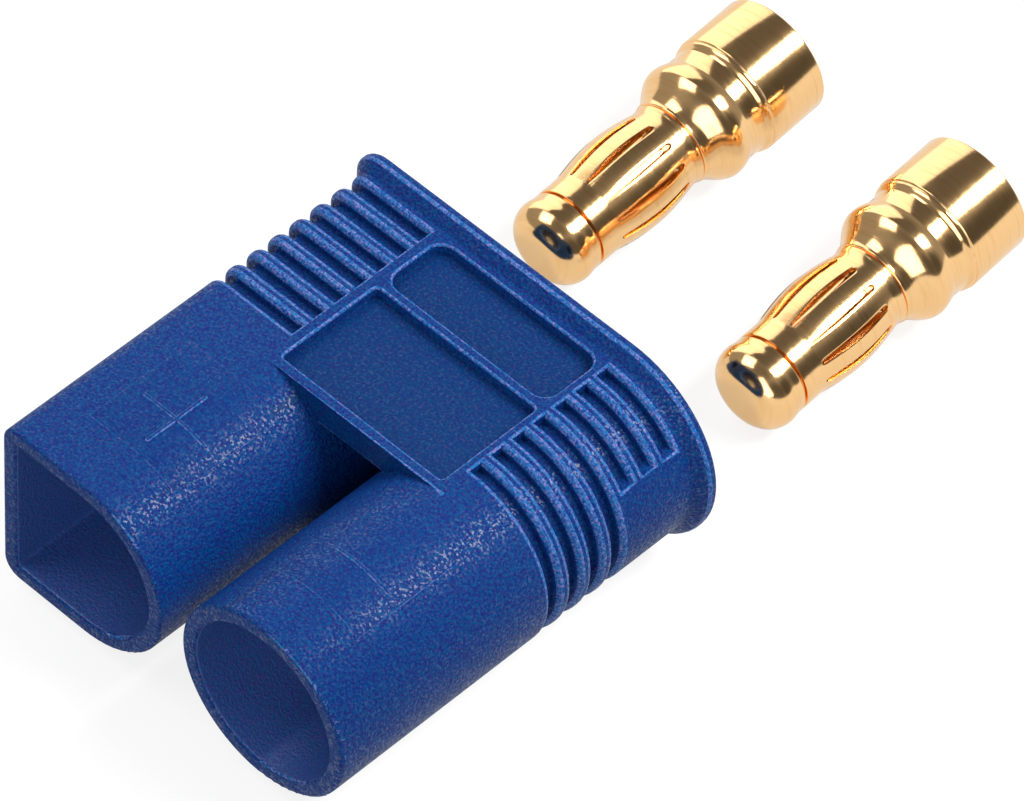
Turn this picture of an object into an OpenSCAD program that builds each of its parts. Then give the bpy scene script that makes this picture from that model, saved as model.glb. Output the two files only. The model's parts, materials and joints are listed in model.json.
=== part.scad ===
// Two-pole battery lead connector: moulded housing and two plug contacts with lantern springs.
// Housing: open shroud mouths face -Y, rear flange faces +Y, shroud axes lie side by side in X.
// The contacts lie on the same surface behind the housing, each resting on its collar and its nose.

/* [Shrouds] */
// Outer radius of the round shroud and of the round half of the square-sided shroud
shroud_r = 4; // [3.8:0.05:4.5]
// Wall of the shrouds
shroud_wall = 0.7; // [0.5:0.05:0.9]
// Distance between the two shroud axes
pole_pitch = 9.03; // [8.8:0.01:10.5]
// Distance from the axis of the square-sided shroud to its flat side
flat_side = 4.09; // [3.9:0.01:4.6]
// Radius of the two long corners of the square-sided shroud
corner_r = 0.8; // [0.7:0.05:1.2]
// Length of the shrouds in front of the grip
shroud_len = 8.85; // [7:0.05:11]
// Depth of the shroud cavities
cavity_depth = 8.4; // [6:0.1:8.8]
// Rounding of the mouth edges
mouth_round = 0.15; // [0.05:0.01:0.3]

/* [Grip] */
// Length of the grip, from the web between the shrouds to the back of the flange
grip_len = 9.7; // [9.5:0.1:12]
// Thickness of the two web plates that join the shrouds
web_t = 1.3; // [1:0.1:2]
// Depth of the pocket between the web plates
pocket_depth = 4.2; // [2:0.1:6]
// Number of grooves on each side of the grip
groove_count = 7; // [4:1:7]
// Distance between grooves
groove_pitch = 1.07; // [1:0.01:1.1]
// Width of a groove at its floor
groove_w = 0.5; // [0.4:0.01:0.56]
// Depth of a groove
groove_depth = 0.45; // [0.2:0.01:0.5]
// Bevel along both edges of every groove
groove_bevel = 0.12; // [0.05:0.01:0.2]
// Distance from the front of the grip to the middle of the first groove
groove_first = 1.8; // [1.6:0.05:2.2]
// Number of front grooves that run all the way round the sides
full_grooves = 4; // [0:1:7]
// Angle by which the grooves of the round side reach past its crest
crest_reach = 2; // [1:0.5:5]
// Half height of the smooth side pads at which the other grooves end
pad_half = 2.2; // [1:0.1:3]

/* [Panels] */
// Width of both recessed panels
panel_w = 8; // [6:0.1:8.6]
// Depth of the recessed panels
panel_depth = 0.45; // [0.2:0.01:0.6]
// Width of the rim in front of the front panel
front_rim = 0.45; // [0.3:0.05:0.8]
// Length of the front panel
front_panel_len = 4.8; // [3:0.1:5]
// Corner radius of the front panel
front_panel_r = 0.2; // [0.1:0.05:1]
// Width of the ridge between the panels
ridge_w = 0.42; // [0.3:0.02:0.8]
// Length of the back panel
back_panel_len = 2.85; // [2:0.05:3]
// Corner radius of the back panel
back_panel_r = 0.65; // [0.3:0.05:1.2]

/* [Flange] */
// Height of the flange over the grip
flange_proud = 0.45; // [0.2:0.05:0.7]
// Thickness of the flange at its outer edge
flange_edge = 0.4; // [0.3:0.05:0.8]
// Length of the slope in front of the flange
flange_slope = 0.42; // [0.2:0.02:0.6]
// Rounding of the rear edge of the flange
flange_round = 0.2; // [0.05:0.01:0.25]

/* [Contacts] */
// Outer radius of the solder cup
cup_r = 2.54; // [2.4:0.02:2.6]
// Bore radius of the solder cup
cup_bore_r = 2.1; // [1.6:0.05:2.1]
// Depth of the solder cup
cup_depth = 3.4; // [2:0.1:3.6]
// Length of the straight outside of the solder cup
cup_len = 2.75; // [2:0.05:4]
// Radius of the neck between cup and collar
neck_r = 2.34; // [2.2:0.02:2.38]
// Length of the neck with the shoulder in front of the cup
neck_len = 0.95; // [0.8:0.05:1.5]
// Largest radius of the collar
collar_r = 2.5; // [2.42:0.02:2.56]
// Distance from the neck to the largest radius of the collar
collar_rise = 0.75; // [0.5:0.05:1]
// Distance from the largest radius of the collar to the spring
collar_fall = 1.35; // [1:0.05:1.8]
// Length of the spring sleeve
spring_len = 5.55; // [4.5:0.05:6.5]
// Outer radius of the two plain rings of the spring sleeve
ring_r = 1.73; // [1.7:0.01:1.8]
// Bulge of the slotted part over the rings
bulge = 0.26; // [0.1:0.01:0.35]
// Wall of the spring sleeve
spring_wall = 0.2; // [0.15:0.01:0.25]
// Number of slots in the spring sleeve
slot_count = 12; // [6:1:14]
// Width of a slot
slot_w = 0.22; // [0.14:0.01:0.3]
// Length of a slot
slot_len = 3.55; // [2.5:0.05:4]
// Distance from the rear end of the sleeve to the slots
slot_back = 0.92; // [0.7:0.02:1.5]
// Largest radius of the domed nose
nose_r = 1.79; // [1.76:0.01:1.9]
// Length of the nose in front of the spring
nose_len = 1.75; // [1.4:0.05:2.5]
// Rounding of the nose
nose_round = 1.05; // [0.6:0.05:1.2]

/* [Fits] */
// Radial clearance between the rear bores and the solder cups
cup_clearance = 0.1; // [0.05:0.01:0.2]
// Radial clearance between the retaining lip and the neck
lip_clearance = 0.06; // [0.03:0.01:0.1]
// Radial clearance between the collar seat and the collar
collar_clearance = 0.12; // [0.05:0.01:0.2]
// Clearance between the spring sleeve and the contact
spring_clearance = 0.02; // [0.01:0.005:0.04]

/* [Layout] */
// Gap between the back of the housing and the nose of the positive contact
positive_gap = 5.2; // [2:0.1:12]
// Sideways place of the positive contact's collar
positive_x = -5.2; // [-7:0.1:-4]
// Turn of the positive contact from the housing's direction
positive_turn = 1; // [-10:0.5:10]
// Gap between the back of the housing and the nose of the negative contact
negative_gap = 5.5; // [2:0.1:12]
// Sideways place of the negative contact's collar
negative_x = 4.8; // [4:0.1:7]
// Turn of the negative contact from the housing's direction
negative_turn = 1.5; // [-10:0.5:10]

/* [Hidden] */
$fn = 64;
blue = [0.06, 0.19, 0.55];
gold = [0.85, 0.62, 0.25];
over = 0.5; // how far cutters reach past a face

// Housing: axes, inner sizes and stations along Y from the mouths
square_x = -pole_pitch / 2;
round_x = pole_pitch / 2;
flat_x = square_x - flat_side;
cavity_r = shroud_r - shroud_wall;
cavity_flat_x = flat_x + shroud_wall;
cavity_corner_r = max(corner_r - shroud_wall, 0.15);
housing_len = shroud_len + grip_len;
flange_front = housing_len - flange_edge - flange_slope;
axis_z = shroud_r + flange_proud;
shroud_root = 1; // how far the round shroud reaches into the grip
lead_in = 0.25;
nick = 0.05; // how far an edge rounding reaches past its faces

// Contact: stations along its axis from the open end of the cup
cup_edge = 0.1;
shoulder_slope = 1.9; // length of the shoulder over its drop
shoulder_len = (cup_r - neck_r) * shoulder_slope;
neck_front = cup_len + neck_len;
collar_at = neck_front + collar_rise;
spring_back = collar_at + collar_fall;
spring_front = spring_back + spring_len;
contact_len = spring_front + nose_len;
nose_at = contact_len - nose_round;
drill_point = 0.6;

// Contact: stem inside the spring sleeve, a land under each ring and a waist between
stem_r = ring_r - spring_wall - spring_clearance;
stem_land = 0.75;
stem_relief = 0.3;
seam_bevel = 0.06;

// Spring sleeve: where its bulge lies, and the small flare of its rear end
bulge_back = slot_back / 2;
bulge_len = slot_len + 0.55;
flare = 0.09;
flare_len = 0.32;

// Seats inside the housing, from the contact's own sizes
seat_r = collar_r + collar_clearance;
lip_r = neck_r + lip_clearance;
rear_bore_r = cup_r + cup_clearance;
lip_front = cavity_depth + (spring_back - neck_front) + lip_clearance;
lip_back = cavity_depth + (spring_back - cup_len - shoulder_len) - lip_clearance;

// Rest attitude of a contact: its collar and its nose touch the surface
rest_tilt = atan((collar_r - nose_r) / (nose_at - collar_at));

// The part's box is centred on the origin in X and Y
centre_x = (flat_x + round_x + shroud_r) / 2;
centre_y = max(cup_end_y(positive_gap, positive_turn), cup_end_y(negative_gap, negative_turn)) / 2;

// Farthest reach in Y of a contact's open end, for its gap behind the housing and its turn
function cup_end_y(gap, turn) =
    let (c = cos(rest_tilt) * cos(turn))
    housing_len + gap + contact_len * c + cup_r * sqrt(1 - c * c);

// Points of an arc around [x, y] from angle a0 to a1
function arc(x, y, r, a0, a1, n = 8) =
    [for (i = [0 : n]) let (a = a0 + (a1 - a0) * i / n) [x + r * cos(a), y + r * sin(a)]];

// Points of a smooth ramp from radius r0 at station z0 to radius r1 at station z1
function ramp(r0, z0, r1, z1, n = 8) =
    [for (i = [0 : n]) [r0 + (r1 - r0) * (1 - cos(180 * i / n)) / 2, z0 + (z1 - z0) * i / n]];

// Outside radius of the spring sleeve at distance u from its rear end
function sleeve_r(u) =
    let (
        s = (u - bulge_back) / bulge_len,
        swell = s > 0 && s < 1 ? bulge * sin(180 * s) : 0,
        lip = u < flare_len ? flare * pow(1 - u / flare_len, 2) : 0
    )
    ring_r + swell + lip;

// Outline in XZ: a half circle of radius r around [x_round, 0] and a flat left side at x_flat with corners cr
module outline(x_round, r, x_flat, cr) {
    translate([x_flat + cr, -r]) square([x_round - x_flat - cr, 2 * r]);
    translate([x_flat, cr - r]) square([2 * cr, 2 * (r - cr)]);
    for (s = [-1, 1]) translate([x_flat + cr, s * (r - cr)]) circle(cr);
    translate([x_round, 0]) circle(r);
}

// Extrude an XZ outline from y0 to y1
module along_y(y0, y1) {
    translate([0, y1, 0]) rotate([90, 0, 0]) linear_extrude(y1 - y0) children();
}

// Revolve a profile of [radius, y] around the Y axis through [x, z], from angle a0 to a1
module round_y(x, z, a0 = 0, a1 = 360) {
    translate([x, 0, z]) rotate([90, 0, 0]) rotate([0, 0, a0])
        rotate_extrude(angle = a1 - a0) mirror([0, 1]) children();
}

// Straight stretch of a swept profile of [outward distance, y] on the top face, from x0 to x1
module sweep_top(x0, x1, r) {
    translate([x0, 0, r]) rotate([0, 90, 0]) linear_extrude(x1 - x0) mirror([1, 0]) children();
}

// Straight stretch of a swept profile on the flat side, from z0 to z1
module sweep_side(z0, z1, x_flat) {
    translate([x_flat, 0, z0]) linear_extrude(z1 - z0) mirror([1, 0]) children();
}

// Turn of a swept profile round a circle of radius r
module sweep_round(x, z, r, a0, a1) {
    round_y(x, z, a0, a1) translate([r, 0]) children();
}

// The shape and its mirror image below the shroud axes
module both_faces() {
    children();
    mirror([0, 0, 1]) children();
}

// Sweep a profile all the way round an outline
module sweep_loop(x_round, r, x_flat, cr) {
    both_faces() {
        sweep_top(x_flat + cr, x_round, r) children();
        sweep_round(x_flat + cr, r - cr, cr, 90, 180) children();
    }
    sweep_side(cr - r, r - cr, x_flat) children();
    sweep_round(x_round, 0, r, -90, 90) children();
}

// Profile that rounds an edge at y = 0; side = -1 takes it off an outer wall, 1 off an inner wall
module edge_profile(radius, side) {
    difference() {
        translate([side > 0 ? -nick : -radius, -nick]) square([nick + radius, nick + radius]);
        translate([side * radius, radius]) circle(radius);
    }
}

// Profile of one groove centred on y = 0, with bevelled edges
module groove_profile() {
    b = groove_bevel;
    w = groove_w / 2;
    polygon([
        [-groove_depth, -w], [-b, -w], [b, -w - 2 * b],
        [b, w + 2 * b], [-b, w], [-groove_depth, w]
    ]);
}

// One groove across the grip, from the crest of each shroud outward and round its side
module groove() {
    sweep_side(corner_r - shroud_r, shroud_r - corner_r, flat_x) groove_profile();
    sweep_round(round_x, 0, shroud_r, -90 - crest_reach, 90 + crest_reach) groove_profile();
    both_faces() {
        sweep_top(flat_x + corner_r, square_x, shroud_r) groove_profile();
        sweep_round(flat_x + corner_r, shroud_r - corner_r, corner_r, 90, 180) groove_profile();
    }
}

// All grooves; the last ones stop at the smooth side pads
module grooves() {
    for (i = [0 : groove_count - 1]) translate([0, shroud_len + groove_first + i * groove_pitch, 0])
        difference() {
            groove();
            if (i >= full_grooves) along_y(-groove_pitch / 2, groove_pitch / 2)
                square([4 * pole_pitch, 2 * pad_half], center = true);
        }
}

// A recessed panel in the top face, its front edge at y0
module panel(y0, len, r) {
    translate([0, y0 + len / 2, shroud_r - panel_depth]) linear_extrude(panel_depth + over) {
        square([panel_w - 2 * r, len], center = true);
        square([panel_w, len - 2 * r], center = true);
        for (sx = [-1, 1], sy = [-1, 1]) translate([sx * (panel_w / 2 - r), sy * (len / 2 - r)]) circle(r);
    }
}

// Raised rim of the rear flange: a slope in front and a rounded rear edge
module flange_profile() {
    root = -corner_r / 2;
    top = flange_proud;
    back = housing_len;
    polygon(concat(
        [[root, back], [root, flange_front], [0, flange_front], [top, flange_front + flange_slope]],
        arc(top - flange_round, back - flange_round, flange_round, 0, 90, 4)
    ));
}

// Open pocket between the two web plates
module web_pocket() {
    half = shroud_r - web_t;
    along_y(shroud_len - over, shroud_len + pocket_depth) difference() {
        translate([square_x, -half]) square([pole_pitch, 2 * half]);
        for (x = [square_x, round_x]) translate([x, 0]) circle(shroud_r);
    }
}

// Seat of one contact behind a cavity: collar seat, retaining lip and rear bore
module contact_seat() {
    rotate([-90, 0, 0]) {
        translate([0, 0, cavity_depth - over]) cylinder(r = seat_r, h = lip_front - cavity_depth + over);
        cylinder(r = lip_r, h = housing_len);
        translate([0, 0, lip_back]) cylinder(r = rear_bore_r, h = housing_len - lip_back + over);
        translate([0, 0, housing_len - lead_in])
            cylinder(r1 = rear_bore_r, r2 = rear_bore_r + 2 * lead_in, h = 2 * lead_in);
    }
}

module housing() {
    color(blue) translate([-centre_x, -centre_y, axis_z]) difference() {
        union() {
            along_y(shroud_len, housing_len) outline(round_x, shroud_r, flat_x, corner_r);
            along_y(0, shroud_len) outline(square_x, shroud_r, flat_x, corner_r);
            along_y(0, shroud_len + shroud_root) translate([round_x, 0]) circle(shroud_r);
            sweep_loop(round_x, shroud_r, flat_x, corner_r) flange_profile();
        }
        along_y(-over, cavity_depth) outline(square_x, cavity_r, cavity_flat_x, cavity_corner_r);
        along_y(-over, cavity_depth) translate([round_x, 0]) circle(cavity_r);
        for (x = [square_x, round_x]) translate([x, 0, 0]) contact_seat();
        sweep_loop(square_x, shroud_r, flat_x, corner_r) edge_profile(mouth_round, -1);
        sweep_loop(square_x, cavity_r, cavity_flat_x, cavity_corner_r) edge_profile(mouth_round, 1);
        sweep_round(round_x, 0, shroud_r, 0, 360) edge_profile(mouth_round, -1);
        sweep_round(round_x, 0, cavity_r, 0, 360) edge_profile(mouth_round, 1);
        web_pocket();
        grooves();
        both_faces() {
            panel(shroud_len + front_rim, front_panel_len, front_panel_r);
            panel(shroud_len + front_rim + front_panel_len + ridge_w, back_panel_len, back_panel_r);
        }
    }
}

// Turned contact along +Z: solder cup at z = 0, nose at contact_len
module contact_body() {
    waist = stem_r - stem_relief;
    waist_back = spring_back + stem_land;
    waist_front = spring_front - stem_land;
    ring = ring_r - seam_bevel;
    color(gold) rotate_extrude() polygon(concat(
        [[0, cup_depth + drill_point], [cup_bore_r, cup_depth], [cup_bore_r, 0]],
        [[cup_r - cup_edge, 0], [cup_r, cup_edge], [cup_r, cup_len], [neck_r, cup_len + shoulder_len]],
        ramp(neck_r, neck_front, collar_r, collar_at),
        ramp(collar_r, collar_at, ring_r + flare, spring_back, 12),
        [[stem_r, spring_back], [stem_r, waist_back], [waist, waist_back + stem_relief]],
        [[waist, waist_front - stem_relief], [stem_r, waist_front], [stem_r, spring_front]],
        [[ring, spring_front], [ring_r, spring_front + seam_bevel]],
        ramp(ring_r, spring_front + 2 * seam_bevel, nose_r, nose_at, 4),
        arc(nose_r - nose_round, nose_at, nose_round, 10, 90, 9),
        [[0, contact_len]]
    ));
}

// Lantern spring sleeve: a thin barrel with lengthwise slots between two plain rings
module contact_spring() {
    steps = 16;
    gap = spring_clearance;
    us = [for (i = [0 : steps]) gap + (spring_len - 2 * gap) * i / steps];
    color(gold) translate([0, 0, spring_back]) difference() {
        rotate_extrude() polygon(concat(
            [for (u = us) [sleeve_r(u), u]],
            [for (i = [steps : -1 : 0]) [max(sleeve_r(us[i]) - spring_wall, stem_r + gap), us[i]]]
        ));
        for (i = [0 : slot_count - 1]) rotate([0, 0, 360 * (i + 0.5) / slot_count])
            translate([0, 0, slot_back]) rotate([0, 90, 0]) linear_extrude(2 * ring_r) slot_outline();
    }
}

// One slot with eight-sided round ends, lying along -X from the origin
module slot_outline() {
    r = slot_w / 2;
    translate([-slot_len + r, -r]) square([slot_len - slot_w, slot_w]);
    for (x = [r, slot_len - r]) translate([-x, 0]) circle(r, $fn = 8);
}

// Lay a contact on the surface with its nose a gap behind the housing, turned from the housing's direction
module lay_contact(gap, x, turn) {
    y = housing_len + gap + (contact_len - collar_at) * cos(rest_tilt) * cos(turn);
    translate([x - centre_x, y - centre_y, collar_r * cos(rest_tilt)])
        rotate([90 + rest_tilt, 0, turn]) translate([0, 0, -collar_at]) children();
}

module positive_contact() { lay_contact(positive_gap, positive_x, positive_turn) contact_body(); }
module positive_spring() { lay_contact(positive_gap, positive_x, positive_turn) contact_spring(); }
module negative_contact() { lay_contact(negative_gap, negative_x, negative_turn) contact_body(); }
module negative_spring() { lay_contact(negative_gap, negative_x, negative_turn) contact_spring(); }

housing();
positive_contact();
positive_spring();
negative_contact();
negative_spring();
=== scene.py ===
"""Looks of a two-pole battery lead connector.

A blue moulded housing stands on its flange, and the two gold-plated plug contacts lie behind it.
Sizes are in millimetres in the classes, and become metres where a mesh is made.
"""

import json
import logging
import math
from dataclasses import dataclass, field
from enum import Enum, IntEnum
from typing import Callable, Iterable, Sequence

import bmesh
import bpy
from mathutils import Matrix, Vector

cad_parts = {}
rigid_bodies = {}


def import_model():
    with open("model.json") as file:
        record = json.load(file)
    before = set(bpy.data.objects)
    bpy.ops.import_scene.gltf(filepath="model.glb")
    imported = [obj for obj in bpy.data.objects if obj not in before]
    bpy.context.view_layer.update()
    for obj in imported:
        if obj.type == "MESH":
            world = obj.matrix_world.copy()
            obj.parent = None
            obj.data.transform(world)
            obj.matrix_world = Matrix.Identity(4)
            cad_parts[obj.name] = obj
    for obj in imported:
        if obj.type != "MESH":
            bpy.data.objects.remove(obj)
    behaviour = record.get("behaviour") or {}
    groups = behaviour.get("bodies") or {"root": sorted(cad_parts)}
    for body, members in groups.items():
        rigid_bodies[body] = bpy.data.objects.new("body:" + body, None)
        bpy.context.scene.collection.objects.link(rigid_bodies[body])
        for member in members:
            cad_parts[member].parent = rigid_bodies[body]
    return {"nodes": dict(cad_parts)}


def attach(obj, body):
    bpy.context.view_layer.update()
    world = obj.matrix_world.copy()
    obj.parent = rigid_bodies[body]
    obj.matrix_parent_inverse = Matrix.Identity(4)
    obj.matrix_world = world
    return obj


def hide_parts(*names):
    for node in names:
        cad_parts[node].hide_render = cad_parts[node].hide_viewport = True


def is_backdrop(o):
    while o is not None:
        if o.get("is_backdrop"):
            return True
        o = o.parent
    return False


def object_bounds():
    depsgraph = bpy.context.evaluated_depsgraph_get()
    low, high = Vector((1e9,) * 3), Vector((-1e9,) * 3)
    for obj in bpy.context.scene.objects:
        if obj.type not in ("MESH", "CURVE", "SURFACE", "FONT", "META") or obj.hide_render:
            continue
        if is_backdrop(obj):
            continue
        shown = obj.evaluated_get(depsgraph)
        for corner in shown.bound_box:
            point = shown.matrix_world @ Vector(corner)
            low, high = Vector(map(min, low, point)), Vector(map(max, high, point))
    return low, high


LOG = logging.getLogger("connector")
MM = 0.001
SPUN_DOUBLES = 0.0005
SOLID_DOUBLES = 0.001
WHITE = (1, 1, 1, 1)
Point = tuple[float, float]
Triple = tuple[float, float, float]


# ---------------------------------------------------------------- bench: steps that every piece uses


def only(piece: bpy.types.Object) -> None:
    """Selects one object alone and makes it active.

    Args:
        piece: the object to work on.
    """
    bpy.ops.object.select_all(action="DESELECT")
    piece.select_set(True)
    bpy.context.view_layer.objects.active = piece


def pick(piece: bpy.types.Object, chosen: Callable[[bmesh.types.BMFace], bool]) -> None:
    """Selects in edit mode the faces that pass a test.

    Args:
        piece: the object, already in edit mode.
        chosen: says whether a face is wanted.
    """
    bpy.ops.mesh.select_mode(type="FACE")
    bpy.ops.mesh.select_all(action="DESELECT")
    mesh = bmesh.from_edit_mesh(piece.data)
    for face in mesh.faces:
        face.select_set(chosen(face))
    bmesh.update_edit_mesh(piece.data)


def finish_mesh(piece: bpy.types.Object, smooth_angle: float = 30.0) -> bpy.types.Object:
    """Applies all modifiers, puts the place into the mesh and shades it smooth up to an angle.

    Args:
        piece: the object to finish.
        smooth_angle: edges sharper than this stay sharp, in degrees.

    Returns:
        The same object.
    """
    only(piece)
    for modifier in list(piece.modifiers):
        bpy.ops.object.modifier_apply(modifier=modifier.name)
    bpy.ops.object.transform_apply(location=True, rotation=True, scale=True)
    bpy.ops.object.shade_smooth_by_angle(angle=math.radians(smooth_angle))
    return piece


def soften(
    piece: bpy.types.Object,
    width: float,
    segments: int = 2,
    angle: float = 28.0,
    material: int = -1,
    clamp: bool = True,
) -> None:
    """Adds a bevel that rounds the sharp edges of a piece.

    Args:
        piece: the object to round.
        width: width of the rounding in millimetres.
        segments: faces across each rounding.
        angle: edges flatter than this are left, in degrees.
        material: slot given to the rounding's faces, or -1 for the neighbour's.
        clamp: keeps the whole rounding as narrow as the shortest edge needs.
    """
    bevel = piece.modifiers.new("soft_edges", "BEVEL")
    bevel.width = width * MM
    bevel.segments = segments
    bevel.limit_method = "ANGLE"
    bevel.angle_limit = math.radians(angle)
    bevel.use_clamp_overlap = clamp
    bevel.material = material


def weigh_convex(piece: bpy.types.Object, angle: float) -> None:
    """Gives the outward edges of a piece a bevel weight, so that only they are rounded.

    Args:
        piece: the object.
        angle: edges flatter than this get no weight, in degrees.
    """
    mesh = bmesh.new()
    mesh.from_mesh(piece.data)
    weight = mesh.edges.layers.float.new("bevel_weight_edge")
    for edge in mesh.edges:
        if len(edge.link_faces) == 2 and edge.calc_face_angle_signed() > math.radians(angle):
            edge[weight] = 1.0
    mesh.to_mesh(piece.data)
    mesh.free()


def keep_inside(piece: bpy.types.Object, box: Sequence[Vector]) -> None:
    """Holds every point of a piece inside a box, as rounding an edge may carry a point a hair past it.

    Args:
        piece: the object, with its place in its mesh.
        box: the box's lowest and highest corner.
    """
    for vertex in piece.data.vertices:
        for i, (low, high) in enumerate(zip(*box)):
            vertex.co[i] = min(max(vertex.co[i], low), high)


def spin_outline(name: str, outline: Sequence[Point], steps: int) -> bpy.types.Object:
    """Draws an outline as a chain of edges and spins it once round the Z axis.

    Args:
        name: name of the new object.
        outline: points of (radius, height) in millimetres, along the outside.
        steps: faces round the axis.

    Returns:
        The spun object, with its doubles merged and its faces outward.
    """
    bpy.ops.object.select_all(action="DESELECT")
    bpy.ops.mesh.primitive_plane_add(size=MM)
    piece = bpy.context.object
    piece.name = name
    bpy.ops.object.mode_set(mode="EDIT")
    bpy.ops.mesh.select_mode(type="VERT")
    bpy.ops.mesh.select_all(action="SELECT")
    bpy.ops.mesh.merge(type="CENTER")
    here = Vector((0.0, 0.0, 0.0))
    for n, (radius, height) in enumerate(outline):
        there = Vector((radius * MM, 0.0, height * MM))
        if n == 0:
            bpy.ops.transform.translate(value=there - here)
        else:
            bpy.ops.mesh.extrude_region_move(TRANSFORM_OT_translate={"value": there - here})
        here = there
    bpy.ops.mesh.select_all(action="SELECT")
    bpy.ops.mesh.spin(steps=steps, angle=2 * math.pi, center=(0, 0, 0), axis=(0, 0, 1))
    bpy.ops.mesh.select_all(action="SELECT")
    bpy.ops.mesh.remove_doubles(threshold=SPUN_DOUBLES * MM)
    bpy.ops.mesh.normals_make_consistent(inside=False)
    bpy.ops.object.mode_set(mode="OBJECT")
    return piece


def ramp(r0: float, z0: float, r1: float, z1: float, count: int) -> list[Point]:
    """Points of a smooth S-shaped ramp between two radii.

    Args:
        r0: radius at the start.
        z0: height of the start.
        r1: radius at the end.
        z1: height of the end.
        count: number of steps.

    Returns:
        Points of (radius, height).
    """
    return [
        (r0 + (r1 - r0) * (1 - math.cos(math.pi * i / count)) / 2, z0 + (z1 - z0) * i / count)
        for i in range(count + 1)
    ]


def swell(r0: float, z0: float, r1: float, z1: float, count: int) -> list[Point]:
    """Points of a quarter wave that leaves the first radius at a crease and rounds off at the second.

    Args:
        r0: radius at the start.
        z0: height of the start.
        r1: radius at the end.
        z1: height of the end.
        count: number of steps.

    Returns:
        Points of (radius, height).
    """
    turns = [math.pi / 2 * i / count for i in range(count + 1)]
    return [(r0 + (r1 - r0) * math.sin(a), z0 + (z1 - z0) * 2 * a / math.pi) for a in turns]


def arc(r: float, z: float, radius: float, start: float, end: float, count: int) -> list[Point]:
    """Points of an arc round (r, z).

    Args:
        r: radius at the arc's centre.
        z: height of the arc's centre.
        radius: radius of the arc.
        start: first angle in degrees, 0 being outward and 90 up.
        end: last angle in degrees.
        count: number of steps.

    Returns:
        Points of (radius, height).
    """
    angles = (math.radians(start + (end - start) * i / count) for i in range(count + 1))
    return [(r + radius * math.cos(a), z + radius * math.sin(a)) for a in angles]


# ---------------------------------------------------------------- finishes


class Pole(Enum):
    """The two poles of the connector."""

    POSITIVE = "positive"
    NEGATIVE = "negative"


class Dress(IntEnum):
    """The slots of the housing's finishes; the edge slot is a painted highlight, the panel slot painted
    shade, and the bore slot real gloss with painted light.
    """

    BODY = 0
    EDGE = 1
    PANEL = 2
    SMOOTH = 3
    BORE = 4


def new_material(name: str) -> tuple[bpy.types.Material, bpy.types.NodeTree, bpy.types.Node]:
    """Makes a node material.

    Args:
        name: name of the material.

    Returns:
        The material, its node tree and its Principled node.
    """
    material = bpy.data.materials.new(name)
    material.use_nodes = True
    tree = material.node_tree
    return material, tree, tree.nodes["Principled BSDF"]


def place_group(
    tree: bpy.types.NodeTree,
    group: bpy.types.NodeTree,
    lie: Matrix | None = None,
    squeeze: float = 1.0,
    **values: float,
) -> bpy.types.Node:
    """Places a node group in a material, on Object coordinates.

    Args:
        tree: the material's node tree.
        group: the group to place; it has a Vector input.
        lie: the lie of the piece, for a pattern that turns with it.
        squeeze: how much the pattern is shortened along the piece's axis.
        values: values of its other inputs.

    Returns:
        The group's node.
    """
    place = tree.nodes.new("ShaderNodeTexCoord")
    node = tree.nodes.new("ShaderNodeGroup")
    node.node_tree = group
    if lie is None:
        tree.links.new(place.outputs["Object"], node.inputs["Vector"])
    else:
        turn = tree.nodes.new("ShaderNodeMapping")
        turn.vector_type = "TEXTURE"
        turn.inputs["Location"].default_value = lie.to_translation()
        turn.inputs["Rotation"].default_value = lie.to_euler()
        turn.inputs["Scale"].default_value = (1.0, 1.0, 1.0 / squeeze)
        tree.links.new(place.outputs["Object"], turn.inputs["Vector"])
        tree.links.new(turn.outputs["Vector"], node.inputs["Vector"])
    for name, value in values.items():
        node.inputs[name].default_value = value
    return node


def remap(
    tree: bpy.types.NodeTree,
    value: bpy.types.NodeSocket,
    span: Point = (0.0, 1.0),
    to: Point = (0.0, 1.0),
    interpolation: str = "LINEAR",
) -> bpy.types.NodeSocket:
    """Maps a span of values onto another, held at its ends.

    Args:
        tree: the node tree.
        value: the value to map.
        span: the two values that are mapped onto the ends.
        to: the two ends.
        interpolation: the way from one end to the other.

    Returns:
        The mapped value's socket.
    """
    node = tree.nodes.new("ShaderNodeMapRange")
    node.interpolation_type = interpolation
    node.inputs["From Min"].default_value, node.inputs["From Max"].default_value = span
    node.inputs["To Min"].default_value, node.inputs["To Max"].default_value = to
    tree.links.new(value, node.inputs["Value"])
    return node.outputs["Result"]


def mixed(
    tree: bpy.types.NodeTree,
    factor: bpy.types.NodeSocket,
    first: bpy.types.NodeSocket | Sequence[float],
    second: bpy.types.NodeSocket | Sequence[float] | float,
    data_type: str = "FLOAT",
) -> bpy.types.NodeSocket:
    """Mixes two values or two colours.

    Args:
        tree: the node tree.
        factor: how much of the second shows.
        first: the first, as a socket or a fixed value.
        second: the second, likewise.
        data_type: FLOAT for values, RGBA for colours.

    Returns:
        The mixed value's socket.
    """
    node = tree.nodes.new("ShaderNodeMix")
    node.data_type = data_type
    tree.links.new(factor, node.inputs["Factor"])
    for name, part in (("A", first), ("B", second)):
        if isinstance(part, bpy.types.NodeSocket):
            tree.links.new(part, node.inputs[name])
        else:
            node.inputs[name].default_value = part
    return node.outputs["Result"]


def emboss(
    tree: bpy.types.NodeTree,
    shader: bpy.types.Node,
    height: bpy.types.NodeSocket,
    strength: float,
    depth: float,
) -> None:
    """Gives a surface a relief by a bump on its normals.

    Args:
        tree: the material's node tree.
        shader: the Principled node.
        height: the relief's height.
        strength: how much of the relief shows.
        depth: depth of the relief in millimetres.
    """
    bump = tree.nodes.new("ShaderNodeBump")
    bump.inputs["Strength"].default_value = strength
    bump.inputs["Distance"].default_value = depth * MM
    tree.links.new(height, bump.inputs["Height"])
    tree.links.new(bump.outputs["Normal"], shader.inputs["Normal"])


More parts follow.
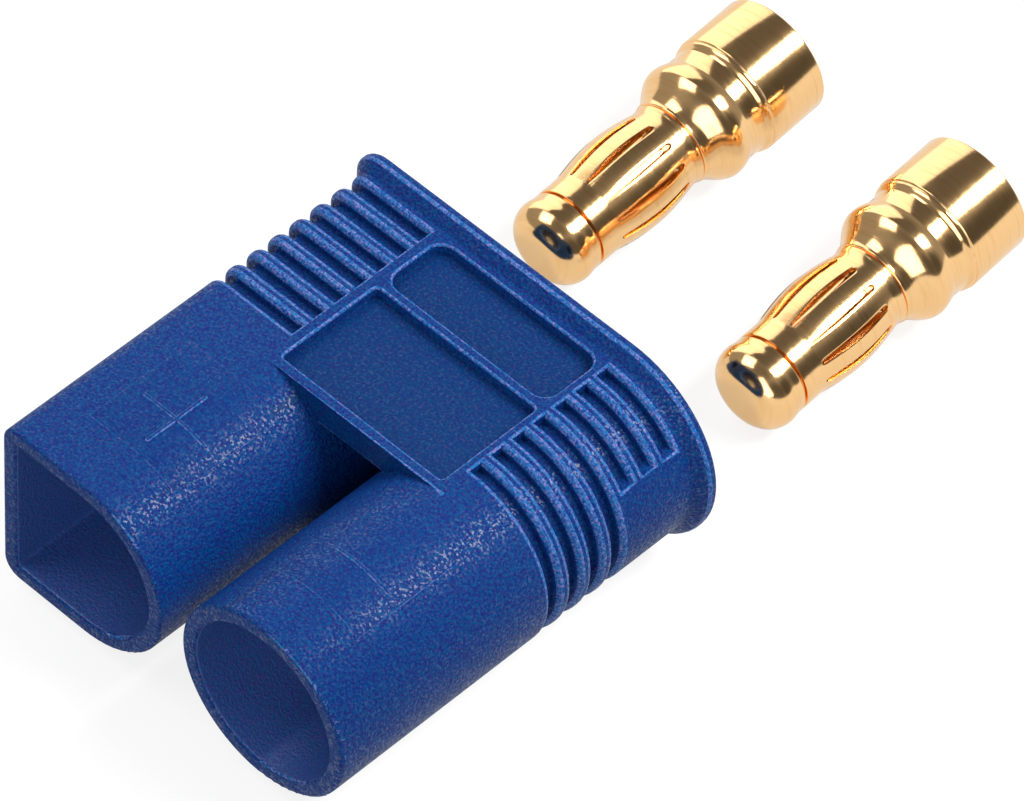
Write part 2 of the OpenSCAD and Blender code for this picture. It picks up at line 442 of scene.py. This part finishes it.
@dataclass(frozen=True)
class Grain:
    """A fine grain, as a shader node group that several finishes share."""

    name: str = "fine_grain"
    noise_roughness: float = 0.55

    def group(self) -> bpy.types.NodeTree:
        """Makes the group, or gives the one already made.

        Returns:
            The node group, with a Fine value, a Broad value and a Colour of small hue shifts.
        """
        found = bpy.data.node_groups.get(self.name)
        if found:
            return found
        tree = bpy.data.node_groups.new(self.name, "ShaderNodeTree")
        ports = tree.interface
        ports.new_socket("Vector", in_out="INPUT", socket_type="NodeSocketVector")
        for label, value in (("Fine Scale", 7000.0), ("Broad Scale", 500.0)):
            ports.new_socket(label, in_out="INPUT", socket_type="NodeSocketFloat").default_value = value
        ports.new_socket("Fine", in_out="OUTPUT", socket_type="NodeSocketFloat")
        ports.new_socket("Broad", in_out="OUTPUT", socket_type="NodeSocketFloat")
        ports.new_socket("Colour", in_out="OUTPUT", socket_type="NodeSocketColor")
        start = tree.nodes.new("NodeGroupInput")
        end = tree.nodes.new("NodeGroupOutput")
        for label, detail in (("Fine", 2.0), ("Broad", 3.0)):
            noise = tree.nodes.new("ShaderNodeTexNoise")
            noise.inputs["Detail"].default_value = detail
            noise.inputs["Roughness"].default_value = self.noise_roughness
            tree.links.new(start.outputs["Vector"], noise.inputs["Vector"])
            tree.links.new(start.outputs[label + " Scale"], noise.inputs["Scale"])
            tree.links.new(noise.outputs["Fac"], end.inputs[label])
            if label == "Fine":
                tree.links.new(noise.outputs["Color"], end.inputs["Colour"])
        return tree


@dataclass(frozen=True)
class MouldedNylon:
    """Blue glass-filled nylon with a fine moulded grain."""

    name: str
    colour: Triple = (0.001, 0.027, 0.18)
    violet: Triple = (0.01, 0.015, 0.15)
    teal: Triple = (0.0, 0.058, 0.21)
    roughness: float = 0.4
    roughness_spread: float = 0.14
    roughness_span: Point = (0.3, 0.7)
    gloss: float = 0.08
    glint: float = 0.8
    glint_span: Point = (0.54, 0.64)
    glint_roughness: float = 0.34
    speckle: float = 1.0
    speckle_span: Point = (0.45, 0.60)
    bump: float = 1.0
    bump_depth: float = 0.09
    grain_mm: float = 0.11

    def build(self) -> bpy.types.Material:
        """Makes the material.

        Returns:
            The nylon material.
        """
        material, tree, shader = new_material(self.name)
        grain = place_group(tree, Grain().group(), **{"Fine Scale": 1 / (self.grain_mm * MM)})
        fine = grain.outputs["Fine"]
        hue = tree.nodes.new("ShaderNodeSeparateColor")
        tree.links.new(grain.outputs["Colour"], hue.inputs["Color"])
        base = (*self.colour, 1)
        for channel, colour in (("Red", self.violet), ("Green", self.teal)):
            cover = remap(tree, hue.outputs[channel], self.speckle_span, (0.0, self.speckle))
            base = mixed(tree, cover, base, (*colour, 1), "RGBA")
        tree.links.new(base, shader.inputs["Base Color"])
        ends = (self.roughness - self.roughness_spread, self.roughness + self.roughness_spread)
        tree.links.new(remap(tree, fine, self.roughness_span, ends), shader.inputs["Roughness"])
        emboss(tree, shader, fine, self.bump, self.bump_depth)
        glint = remap(tree, hue.outputs["Blue"], self.glint_span, (0.0, self.glint))
        tree.links.new(glint, shader.inputs["Coat Weight"])
        shader.inputs["Coat Roughness"].default_value = self.glint_roughness
        shader.inputs["Specular IOR Level"].default_value = self.gloss
        return material


@dataclass(frozen=True)
class GoldPlate:
    """Polished gold plating on turned brass."""

    name: str
    colour: Triple = (1.0, 0.63, 0.29)
    deep: Triple = (0.88, 0.48, 0.16)
    deep_span: Point = (0.5, 0.8)
    deep_share: float = 0.6
    roughness: float = 0.13
    roughness_ends: Point = (0.5, 1.6)
    bump: float = 0.5
    bump_depth: float = 0.004
    fine_scale: float = 1700.0
    broad_scale: float = 420.0
    squeeze: float = 14.0

    def build(self, lie: Matrix) -> bpy.types.Material:
        """Makes the material, with fine turning marks round the contact's axis.

        Args:
            lie: the lie of the contact.

        Returns:
            The gold material.
        """
        material, tree, shader = new_material(self.name)
        scales = {"Fine Scale": self.fine_scale, "Broad Scale": self.broad_scale}
        grain = place_group(tree, Grain().group(), lie, self.squeeze, **scales)
        fine = grain.outputs["Fine"]
        cover = remap(tree, grain.outputs["Broad"], self.deep_span, (0.0, self.deep_share))
        base = mixed(tree, cover, (*self.colour, 1), (*self.deep, 1), "RGBA")
        tree.links.new(base, shader.inputs["Base Color"])
        shader.inputs["Metallic"].default_value = 1.0
        low, high = self.roughness_ends
        ends = (self.roughness * low, self.roughness * high)
        tree.links.new(remap(tree, fine, to=ends), shader.inputs["Roughness"])
        emboss(tree, shader, fine, self.bump, self.bump_depth)
        return material


# ---------------------------------------------------------------- the moulded housing


@dataclass
class Housing:
    """The moulded housing: its shell from the frame with soft edges, and the polarity marks on its shrouds.

    A face takes the panels' finish, a darker nylon that paints shade into the recessed panels, within
    panel_slack of their height. It takes the bores' finish, a glossier nylon whose lighter colour is painted
    light in the cavities, where it points at its shroud's axis from over bore_pull away, leans less than
    bore_lean along that axis, and isn't in the outer wall_w of the housing.
    """

    shroud_r: float = 4.0
    axis_x: float = 4.515
    middle_x: float = 0.045
    axis_z: float = 4.45
    mouth_y: float = -18.667
    panel_z: float = 8.0
    panel_half: float = 4.05
    panel_slack: float = 0.05
    bore_lean: float = 0.5
    bore_pull: float = 1.5
    wall_w: float = 0.5
    flat_angle: float = 0.6
    edge_angle: float = 28.0
    edge_w: float = 0.09
    mark_w: float = 0.17
    mark_proud: float = 0.07
    mark_sunk: float = 0.15
    mark_faces_per_mm: int = 8
    mark_faces: int = 4
    mark_edge_w: float = 0.05
    mark_edge_share: float = 0.8
    mark_edge_angle: float = 50.0
    plus_middle: Point = (-4.45, 4.53)
    plus_len: Point = (3.3, 3.0)
    minus_middle: Point = (4.9, 4.48)
    minus_len: float = 2.8
    patch_y: Point = (2.45, 7.45)
    patch_half: float = 2.2
    patch_proud: float = 0.02
    body: MouldedNylon = field(default_factory=lambda: MouldedNylon("nylon_body"))
    # The edge finish is a lighter, paler-speckled nylon on the rounded edges: a painted highlight, as of
    # light caught on the rounds.
    edge: MouldedNylon = field(
        default_factory=lambda: MouldedNylon(
            "nylon_edge_painted_highlight",
            colour=(0.006, 0.065, 0.3),
            violet=(0.19, 0.2, 0.5),
            teal=(0.015, 0.15, 0.41),
            roughness=0.34,
        )
    )
    # The panel finish is a darker nylon on the recessed panel floors: painted shade, with a real smoother
    # grain.
    panel: MouldedNylon = field(
        default_factory=lambda: MouldedNylon(
            "nylon_panel_painted_shade",
            colour=(0.001, 0.024, 0.135),
            violet=(0.008, 0.017, 0.125),
            teal=(0.0, 0.043, 0.15),
            bump=0.6,
        )
    )
    # The bore finish is glossier, which is real, and lighter, which is painted light standing in for light
    # reaching the cavities.
    bore: MouldedNylon = field(
        default_factory=lambda: MouldedNylon(
            "nylon_bore_gloss_and_painted_light",
            colour=(0.03, 0.075, 0.3),
            violet=(0.06, 0.06, 0.28),
            teal=(0.02, 0.1, 0.32),
            gloss=0.4,
            bump=0.5,
        )
    )
    smooth: MouldedNylon = field(
        default_factory=lambda: MouldedNylon(
            "nylon_patch",
            colour=(0.001, 0.026, 0.17),
            violet=(0.008, 0.016, 0.145),
            teal=(0.0, 0.052, 0.195),
            bump=0.7,
        )
    )

    def build(self, node: bpy.types.Object) -> list[bpy.types.Object]:
        """Builds the shell and its marks.

        Args:
            node: the CAD node of the housing.

        Returns:
            The pieces, dressed.
        """
        dress = [f.build() for f in (self.body, self.edge, self.panel, self.smooth, self.bore)]
        shell = self.shell(node, dress)
        across, along = self.plus_len
        width, proud = self.mark_w, self.mark_proud
        marks = [
            self.patch("positive_patch", Pole.POSITIVE, dress),
            self.patch("negative_patch", Pole.NEGATIVE, dress),
            self.bar("plus_across", Pole.POSITIVE, self.plus_middle, (across, width), proud, dress),
            self.bar("plus_along", Pole.POSITIVE, self.plus_middle, (width, along), proud, dress),
            self.bar("minus_across", Pole.NEGATIVE, self.minus_middle, (self.minus_len, width), proud, dress),
        ]
        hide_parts("housing")
        return [shell, *marks]

    def shell(self, node: bpy.types.Object, dress: Iterable[bpy.types.Material]) -> bpy.types.Object:
        """Copies the housing's solid, merges its triangles and rounds its edges.

        Args:
            node: the CAD node of the housing.
            dress: the materials of its slots.

        Returns:
            The shell.
        """
        only(node)
        bpy.ops.object.duplicate(linked=False)
        shell = bpy.context.object
        shell.name = "housing_shell"
        for key in list(shell.keys()):
            del shell[key]
        only(shell)
        bpy.ops.object.parent_clear(type="CLEAR_KEEP_TRANSFORM")
        if shell.data.has_custom_normals:
            bpy.ops.mesh.customdata_custom_splitnormals_clear()
        bpy.ops.object.mode_set(mode="EDIT")
        bpy.ops.mesh.select_all(action="SELECT")
        bpy.ops.mesh.remove_doubles(threshold=SOLID_DOUBLES * MM)
        bpy.ops.mesh.mark_sharp(clear=True)
        bpy.ops.mesh.dissolve_limited(angle_limit=math.radians(self.flat_angle))
        bpy.ops.object.mode_set(mode="OBJECT")
        shell.data.materials.clear()
        for material in dress:
            shell.data.materials.append(material)
        for face in shell.data.polygons:
            face.material_index = self.finish_or_painted_light_of(face)
        weigh_convex(shell, self.edge_angle)
        # The roundings take the edge finish's lighter colour, a painted highlight along the shell's edges.
        soften(shell, self.edge_w, segments=3, material=Dress.EDGE, clamp=False)
        shell.modifiers["soft_edges"].limit_method = "WEIGHT"
        return finish_mesh(shell)

    def finish_or_painted_light_of(self, face: bpy.types.MeshPolygon) -> Dress:
        """Chooses the finish of a face of the shell by its place and the way it looks; the panels' finish is
        painted shade and the bores' lighter colour is painted light.

        Args:
            face: the face.

        Returns:
            The slot of its finish.
        """
        height, side = face.center.z / MM, abs(face.center.x / MM - self.middle_x)
        # Panel floors take the darker nylon: painted shade in the recesses.
        if abs(height - self.panel_z) < self.panel_slack and side < self.panel_half:
            return Dress.PANEL
        # Bore walls take the glossier nylon, whose lighter colour is painted light in the cavities.
        axis_x = math.copysign(self.axis_x, face.center.x) + self.middle_x
        pull = face.normal.dot(Vector((axis_x, face.center.y / MM, self.axis_z)) - face.center / MM)
        inward = abs(face.normal.y) < self.bore_lean and pull > self.bore_pull
        if inward and side < self.axis_x + self.shroud_r - self.wall_w:
            return Dress.BORE
        return Dress.BODY

    def surface_z(self, pole: Pole, x: float) -> float:
        """Height of a shroud's top at a place across it.

        Args:
            pole: which shroud.
            x: distance from the middle between the shrouds, in millimetres.

        Returns:
            The height over the surface that the housing stands on.
        """
        from_axis = x + self.axis_x if pole is Pole.POSITIVE else x - self.axis_x
        if pole is Pole.POSITIVE and from_axis < 0:
            return self.axis_z + self.shroud_r
        return self.axis_z + math.sqrt(self.shroud_r**2 - from_axis**2)

    def bar(
        self,
        name: str,
        pole: Pole,
        middle: Point,
        size: Point,
        proud: float,
        dress: Iterable[bpy.types.Material],
    ) -> bpy.types.Object:
        """Makes a low raised bar that follows the top of a shroud.

        Args:
            name: name of the piece.
            pole: which shroud carries it.
            middle: its middle, across and along the shroud from the mouths.
            size: its width across and its length along the shroud.
            proud: how far it stands over the shroud.
            dress: the materials of its slots.

        Returns:
            The bar.
        """
        bpy.ops.object.select_all(action="DESELECT")
        bpy.ops.mesh.primitive_grid_add(
            x_subdivisions=max(self.mark_faces, int(size[0] * self.mark_faces_per_mm)),
            y_subdivisions=self.mark_faces,
            size=1.0,
        )
        piece = bpy.context.object
        piece.name = name
        piece.scale = (size[0] * MM, size[1] * MM, 1.0)
        bpy.ops.object.transform_apply(location=False, rotation=False, scale=True)
        bpy.ops.object.mode_set(mode="EDIT")
        bpy.ops.mesh.select_all(action="SELECT")
        down = -(self.mark_sunk + proud) * MM
        bpy.ops.mesh.extrude_region_move(TRANSFORM_OT_translate={"value": (0, 0, down)})
        bpy.ops.mesh.select_all(action="SELECT")
        bpy.ops.mesh.normals_make_consistent(inside=False)
        bpy.ops.object.mode_set(mode="OBJECT")
        for vertex in piece.data.vertices:
            x = middle[0] + vertex.co.x / MM
            vertex.co.z += (self.surface_z(pole, x) + proud) * MM
            vertex.co.x += (middle[0] + self.middle_x) * MM
            vertex.co.y += (middle[1] + self.mouth_y) * MM
        for material in dress:
            piece.data.materials.append(material)
        width = min(self.mark_edge_w, proud * self.mark_edge_share)
        # The bar's roundings take the edge finish's lighter colour, a painted highlight along the mark's
        # edges.
        soften(piece, width, angle=self.mark_edge_angle, material=Dress.EDGE, clamp=False)
        return finish_mesh(piece, self.mark_edge_angle)

    def patch(self, name: str, pole: Pole, dress: Iterable[bpy.types.Material]) -> bpy.types.Object:
        """Makes the smooth patch round a polarity mark.

        Args:
            name: name of the piece.
            pole: which shroud carries it.
            dress: the materials of its slots.

        Returns:
            The patch.
        """
        x = -self.axis_x if pole is Pole.POSITIVE else self.axis_x
        middle = (x, sum(self.patch_y) / 2)
        size = (2 * self.patch_half, self.patch_y[1] - self.patch_y[0])
        piece = self.bar(name, pole, middle, size, self.patch_proud, dress)
        for face in piece.data.polygons:
            if face.material_index == Dress.BODY:
                face.material_index = Dress.SMOOTH
        return piece


# ---------------------------------------------------------------- the plug contacts


@dataclass
class PlugContact:
    """A turned contact with its solder cup and its lantern spring, lying on its collar and its nose.

    In the cup's line, the shoulder's start and the undercuts, the first number is a drop under the radius
    beside it, and the second is a distance from the end of the cup or of the spring.
    """

    pole: Pole
    gap: float
    x: float
    turn: float
    housing_back: float = -0.117
    middle_x: float = 0.045
    cup_r: float = 2.54
    cup_bore_r: float = 2.1
    cup_depth: float = 3.4
    drill_point: float = 0.6
    cup_edge: float = 0.06
    cup_line: tuple[Point, ...] = ((0.0, -0.03), (0.06, 0.0), (0.035, 0.05))
    shoulder_start: Point = (0.04, 0.08)
    cup_len: float = 2.75
    neck_r: float = 2.34
    shoulder_len: float = 0.38
    neck_front: float = 3.7
    collar_r: float = 2.5
    collar_at: float = 4.45
    collar_crease: float = 0.08
    undercut: Point = (0.1, 0.03)
    seam_undercut: Point = (0.04, 0.01)
    spring_back: float = 5.8
    spring_len: float = 5.55
    ring_r: float = 1.73
    bulge: float = 0.26
    spring_wall: float = 0.2
    spring_clearance: float = 0.02
    end_gap: float = 0.08
    slot_count: int = 12
    slot_w: float = 0.2
    slot_back: float = 0.92
    slot_len: float = 3.55
    bulge_tail: float = 0.55
    flare: float = 0.09
    flare_len: float = 0.32
    nose_r: float = 1.79
    nose_len: float = 1.75
    nose_round: float = 1.05
    waist_drop: float = 0.3
    land: float = 0.75
    seam: float = 0.11
    edge_w: float = 0.03
    body_faces: int = 128
    strip_faces: int = 12
    sleeve_steps: int = 44
    slot_end_shares: Point = (0.45, 0.9)
    gold: GoldPlate = field(default_factory=lambda: GoldPlate("gold_turned"))
    spring_gold: GoldPlate = field(default_factory=lambda: GoldPlate("gold_spring", roughness=0.15))

    @property
    def nose_at(self) -> float:
        """Height of the nose's largest radius along the contact, from the cup's mouth."""
        return self.length - self.nose_round

    @property
    def length(self) -> float:
        """Length of the contact."""
        return self.spring_back + self.spring_len + self.nose_len

    @property
    def tilt(self) -> float:
        """Angle at which the contact rests on its collar and its nose, in radians."""
        return math.atan((self.collar_r - self.nose_r) / (self.nose_at - self.collar_at))

    def place(self) -> Matrix:
        """Gives the lie of the contact behind the housing.

        Returns:
            The matrix that takes the upright contact there.
        """
        turn = math.radians(self.turn)
        reach = (self.length - self.collar_at) * math.cos(self.tilt) * math.cos(turn)
        height = self.collar_r * math.cos(self.tilt)
        spot = Vector((self.x + self.middle_x, self.housing_back + self.gap + reach, height))
        lie = Matrix.Rotation(turn, 4, "Z") @ Matrix.Rotation(math.pi / 2 + self.tilt, 4, "X")
        return Matrix.Translation(spot * MM) @ lie @ Matrix.Translation((0, 0, -self.collar_at * MM))

    def body_outline(self) -> list[Point]:
        """Outline of the turned contact, from the bottom of the cup's bore to the tip of the nose.

        Returns:
            Points of (radius, height).
        """
        stem = self.ring_r - self.spring_wall - self.spring_clearance
        front = self.spring_back + self.spring_len
        waist = stem - self.waist_drop
        edge = self.cup_edge
        start, rise = self.shoulder_start
        drop, past = self.undercut
        seam_drop, seam_past = self.seam_undercut
        return [
            (0.0, self.cup_depth + self.drill_point),
            (self.cup_bore_r, self.cup_depth),
            (self.cup_bore_r, edge),
            (self.cup_bore_r + edge, 0.0),
            (self.cup_r - edge, 0.0),
            (self.cup_r, edge),
            *((self.cup_r - depth, self.cup_len + at) for depth, at in self.cup_line),
            *ramp(self.cup_r - start, self.cup_len + rise, self.neck_r, self.cup_len + self.shoulder_len, 6),
            *swell(self.neck_r, self.neck_front + self.collar_crease, self.collar_r, self.collar_at, 12),
            *ramp(self.collar_r, self.collar_at, self.ring_r + self.flare, self.spring_back, 20)[1:],
            (self.ring_r + self.flare - drop, self.spring_back + past),
            (stem, self.spring_back + past),
            (stem, self.spring_back + self.land),
            (waist, self.spring_back + self.land + self.waist_drop),
            (waist, front - self.land - self.waist_drop),
            (stem, front - self.land),
            (stem, front - past),
            (self.ring_r - self.seam - seam_drop, front - seam_past),
            *arc(self.ring_r - self.seam, front + self.seam, self.seam, -60, 0, 3),
            *ramp(self.ring_r, front + 2 * self.seam, self.nose_r, self.nose_at, 8)[1:],
            *arc(self.nose_r - self.nose_round, self.nose_at, self.nose_round, 6, 90, 16),
            (0.0, self.length),
        ]

    def sleeve_radius(self, u: float) -> float:
        """Outside radius of the spring sleeve.

        Args:
            u: distance from the sleeve's rear end.

        Returns:
            The radius.
        """
        s = (u - self.slot_back / 2) / (self.slot_len + self.bulge_tail)
        barrel = self.bulge * math.sin(math.pi * s) if 0 < s < 1 else 0.0
        lip = self.flare * (1 - u / self.flare_len) ** 2 if u < self.flare_len else 0.0
        return self.ring_r + barrel + lip

    def build(self) -> list[bpy.types.Object]:
        """Builds the contact and its spring.

        Returns:
            The pieces, dressed.
        """
        turned = spin_outline(f"{self.pole.value}_turned_contact", self.body_outline(), self.body_faces)
        turned.data.materials.append(self.gold.build(self.place()))
        soften(turned, self.edge_w, angle=35)
        spring = self.sleeve()
        spring.data.materials.append(self.spring_gold.build(self.place()))
        for piece in (turned, spring):
            piece.matrix_world = self.place()
            finish_mesh(piece, 40)
        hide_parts(f"{self.pole.value}_contact")
        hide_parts(f"{self.pole.value}_spring")
        return [turned, spring]

    def sleeve(self) -> bpy.types.Object:
        """Builds the lantern spring sleeve: spins its outside, cuts the slots and gives it its wall.

        Returns:
            The sleeve, upright on the contact's axis.
        """
        columns = self.strip_faces
        steps = self.sleeve_steps
        end = self.slot_w * 0.5
        slot = (self.slot_back, self.slot_back + self.slot_len)
        marks = {slot[0], slot[0] + end, slot[1] - end, slot[1]}
        gap = self.end_gap
        stations = sorted(marks | {gap + (self.spring_len - 2 * gap) * i / steps for i in range(steps + 1)})
        outline = [(self.sleeve_radius(u), self.spring_back + u) for u in stations]
        sleeve = spin_outline(f"{self.pole.value}_lantern_spring", outline, self.slot_count * columns)
        pitch = 2 * math.pi / self.slot_count
        low, high = (self.spring_back + u for u in slot)
        bpy.ops.object.mode_set(mode="EDIT")

        def in_slot(face: bmesh.types.BMFace) -> bool:
            """Says whether a face lies in one of the slots.

            Args:
                face: a face of the sleeve.

            Returns:
                True within a slot.
            """
            middle = face.calc_center_median()
            turn = (math.atan2(middle.y, middle.x) + pitch / 2) % pitch - pitch / 2
            return abs(turn) < pitch / columns and low < middle.z / MM < high

        pick(sleeve, in_slot)
        bpy.ops.mesh.delete(type="FACE")
        bpy.ops.object.mode_set(mode="OBJECT")
        self.part_strips(sleeve, pitch, pitch / columns, low, high, end)
        wall = sleeve.modifiers.new("wall", "SOLIDIFY")
        wall.thickness = self.spring_wall * MM
        wall.offset = -1
        soften(sleeve, self.edge_w, angle=40)
        return sleeve

    def part_strips(
        self, sleeve: bpy.types.Object, pitch: float, half: float, low: float, high: float, end: float
    ) -> None:
        """Keeps the strips as wide at the bulge as at the rings, so that the slots open there.

        The slots are narrower at their ends, which rounds them.

        Args:
            sleeve: the sleeve with its slots cut.
            pitch: angle between two slots, in radians.
            half: angle from a slot's middle to its edge as cut.
            low: height of the slots' rear ends.
            high: height of the slots' front ends.
            end: length of the rounding at both ends.
        """
        strip = pitch * self.ring_r - self.slot_w
        tip, shoulder = self.slot_end_shares
        slack = 1e-4
        for vertex in sleeve.data.vertices:
            height = vertex.co.z / MM
            if not low - slack <= height <= high + slack:
                continue
            radius = math.hypot(vertex.co.x, vertex.co.y) / MM
            angle = math.atan2(vertex.co.y, vertex.co.x)
            turn = (angle + pitch / 2) % pitch - pitch / 2
            wanted = (pitch - strip / radius) / 2
            from_end = min(height - low, high - height)
            if from_end < end * 0.5:
                wanted *= tip
            elif from_end < end * 1.5:
                wanted *= shoulder
            if abs(turn) < half * 0.5:
                continue
            span = (pitch / 2 - abs(turn)) / (pitch / 2 - half)
            moved = math.copysign(pitch / 2 - span * (pitch / 2 - wanted), turn)
            vertex.co = Matrix.Rotation(moved - turn, 3, "Z") @ vertex.co


# ---------------------------------------------------------------- studio


@dataclass(frozen=True)
class SoftBox:
    """A soft box: its direction from the part, its distance and size in millimetres, its power in watts."""

    name: str
    way: Triple
    distance: float
    size: Point
    power: float

    def build(self, target: Vector) -> None:
        """Hangs the box, its long side in line with the contacts.

        Args:
            target: the point it faces, in millimetres.
        """
        way = Vector(self.way).normalized()
        bpy.ops.object.light_add(type="AREA", location=(target + way * self.distance) * MM)
        box = bpy.context.object
        box.name = self.name
        box.data.shape = "RECTANGLE"
        box.data.size = self.size[0] * MM
        box.data.size_y = self.size[1] * MM
        box.data.energy = self.power
        along = (Vector((0, 1, 0)) - way * way.y).normalized()
        box.rotation_euler = Matrix((along.cross(way), along, way)).transposed().to_euler()


@dataclass(frozen=True)
class Flag:
    """A dark flag in the studio's surroundings: its direction, its half angle in degrees and its level."""

    way: Triple
    half_angle: float
    level: float
    fade: float = 12.0

    def over(
        self, tree: bpy.types.NodeTree, way: bpy.types.NodeSocket, level: bpy.types.NodeSocket
    ) -> bpy.types.NodeSocket:
        """Darkens the surroundings round the flag's direction.

        Args:
            tree: the world's node tree.
            way: the direction looked in.
            level: the brightness before.

        Returns:
            The brightness with the flag in place.
        """
        near = tree.nodes.new("ShaderNodeVectorMath")
        near.operation = "DOT_PRODUCT"
        near.inputs[1].default_value = Vector(self.way).normalized()
        tree.links.new(way, near.inputs[0])
        edges = (self.half_angle + self.fade, self.half_angle - self.fade)
        span = tuple(math.cos(math.radians(edge)) for edge in edges)
        cover = remap(tree, near.outputs["Value"], span, interpolation="SMOOTHSTEP")
        return mixed(tree, cover, level, self.level)


@dataclass
class Studio:
    """White surface, soft lights, surroundings and the camera, in millimetres and degrees."""

    target: Vector = field(default_factory=lambda: Vector((0.045, -6.667, 3.95)))
    azimuth: float = 41.93
    elevation: float = 49.08
    roll: float = 3.24
    distance: float = 310.6
    aim: Point = (3.618, 2.131)
    lens: float = 304.2
    sensor: float = 36.0
    clip: Point = (10.0, 20000.0)
    floor_half: float = 400.0
    floor_drop: float = 0.02
    floor_roughness: float = 0.9
    floor_white: float = 0.2
    floor_seen: float = 0.82
    floor_mirrored: float = 0.56
    world_level: float = 0.32
    boxes: tuple[SoftBox, ...] = (
        SoftBox("back_box", (0.435, 0.487, 0.756), 260.0, (75.0, 190.0), 0.8),
        SoftBox("top_box", (-0.51, -0.26, 0.81), 260.0, (150.0, 170.0), 0.22),
        SoftBox("left_box", (-0.79, 0.487, 0.37), 320.0, (320.0, 250.0), 0.34),
        SoftBox("front_box", (0.45, -0.8, 0.34), 320.0, (300.0, 220.0), 0.55),
    )
    flags: tuple[Flag, ...] = (
        Flag((-0.2, 0.42, 0.885), 30.0, 0.12),
        Flag((0.87, 0.40, 0.28), 22.0, 0.08),
        Flag((0.1, -0.45, 0.9), 24.0, 0.16),
        Flag((0.9, -0.35, 0.25), 24.0, 0.1),
    )

    def build(self) -> None:
        """Builds the surface, the lights, the world and the camera."""
        self.surface()
        for box in self.boxes:
            box.build(self.target)
        self.world()
        self.camera()

    def surface(self) -> None:
        """Makes the white surface, which shows white to the camera and keeps the shadows."""
        bpy.ops.object.select_all(action="DESELECT")
        size, drop = 2 * self.floor_half * MM, self.floor_drop * MM
        bpy.ops.mesh.primitive_plane_add(size=size, location=(0, 0, -drop))
        floor = bpy.context.object
        floor.name = "white_surface"
        bpy.ops.object.transform_apply(location=True, rotation=True, scale=True)
        material, tree, shader = new_material("white_surface")
        shader.inputs["Base Color"].default_value = (self.floor_white,) * 3 + (1,)
        shader.inputs["Roughness"].default_value = self.floor_roughness
        shader.inputs["Emission Color"].default_value = WHITE
        rays = tree.nodes.new("ShaderNodeLightPath")
        mirrored = tree.nodes.new("ShaderNodeMath")
        mirrored.operation = "MULTIPLY"
        mirrored.inputs[1].default_value = self.floor_mirrored
        tree.links.new(rays.outputs["Is Glossy Ray"], mirrored.inputs[0])
        seen = mixed(tree, rays.outputs["Is Camera Ray"], mirrored.outputs["Value"], self.floor_seen)
        tree.links.new(seen, shader.inputs["Emission Strength"])
        floor.data.materials.append(material)
        floor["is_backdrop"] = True

    def world(self) -> None:
        """Sets the surroundings: grey with dark flags, which the camera sees as white."""
        world = bpy.data.worlds.new("studio")
        bpy.context.scene.world = world
        world.use_nodes = True
        tree = world.node_tree
        back = tree.nodes["Background"]
        rays = tree.nodes.new("ShaderNodeLightPath")
        look = tree.nodes.new("ShaderNodeTexCoord")
        base = tree.nodes.new("ShaderNodeValue")
        base.outputs[0].default_value = self.world_level
        level = base.outputs[0]
        for flag in self.flags:
            level = flag.over(tree, look.outputs["Generated"], level)
        back.inputs["Color"].default_value = WHITE
        tree.links.new(mixed(tree, rays.outputs["Is Camera Ray"], level, 1.0), back.inputs["Strength"])

    def camera(self) -> None:
        """Adds the camera, turned round the target and rolled a little."""
        a, e, r = (math.radians(v) for v in (self.azimuth, self.elevation, self.roll))
        right = Vector((math.cos(a), math.sin(a), 0))
        up = Vector((-math.sin(a) * math.sin(e), math.cos(a) * math.sin(e), math.cos(e)))
        back = Vector((math.sin(a) * math.cos(e), -math.cos(a) * math.cos(e), math.sin(e)))
        across = right * math.cos(r) + up * math.sin(r)
        upward = up * math.cos(r) - right * math.sin(r)
        eye = self.target + back * self.distance + across * self.aim[0] + upward * self.aim[1]
        bpy.ops.object.camera_add()
        camera = bpy.context.object
        camera.data.lens = self.lens
        camera.data.sensor_width = self.sensor
        camera.data.clip_start, camera.data.clip_end = (v * MM for v in self.clip)
        turn = Matrix((across, upward, back)).transposed().to_4x4()
        camera.matrix_world = Matrix.Translation(eye * MM) @ turn
        bpy.context.scene.camera = camera


def main() -> None:
    """Builds the part and the studio, and reports each piece."""
    logging.basicConfig(level=logging.INFO, format="%(name)s: %(message)s")
    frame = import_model()
    cad_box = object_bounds()
    housing = Housing()
    contacts = [
        PlugContact(Pole.POSITIVE, gap=5.2, x=-5.2, turn=1.0),
        PlugContact(Pole.NEGATIVE, gap=5.5, x=4.8, turn=1.5),
    ]
    dressed = [("housing_nylon", housing.build(frame["nodes"]["housing"]))]
    for contact in contacts:
        turned, spring = contact.build()
        dressed.append(("gold_plate", [turned]))
        dressed.append(("spring_gold", [spring]))
    for slot, pieces in dressed:
        for piece in pieces:
            keep_inside(piece, cad_box)
            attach(piece, "root")
            LOG.info("%s: %d faces, finish %s", piece.name, len(piece.data.polygons), slot)
    Studio().build()
    bpy.context.scene.view_settings.view_transform = "Standard"


if __name__ == "__main__":
    main()
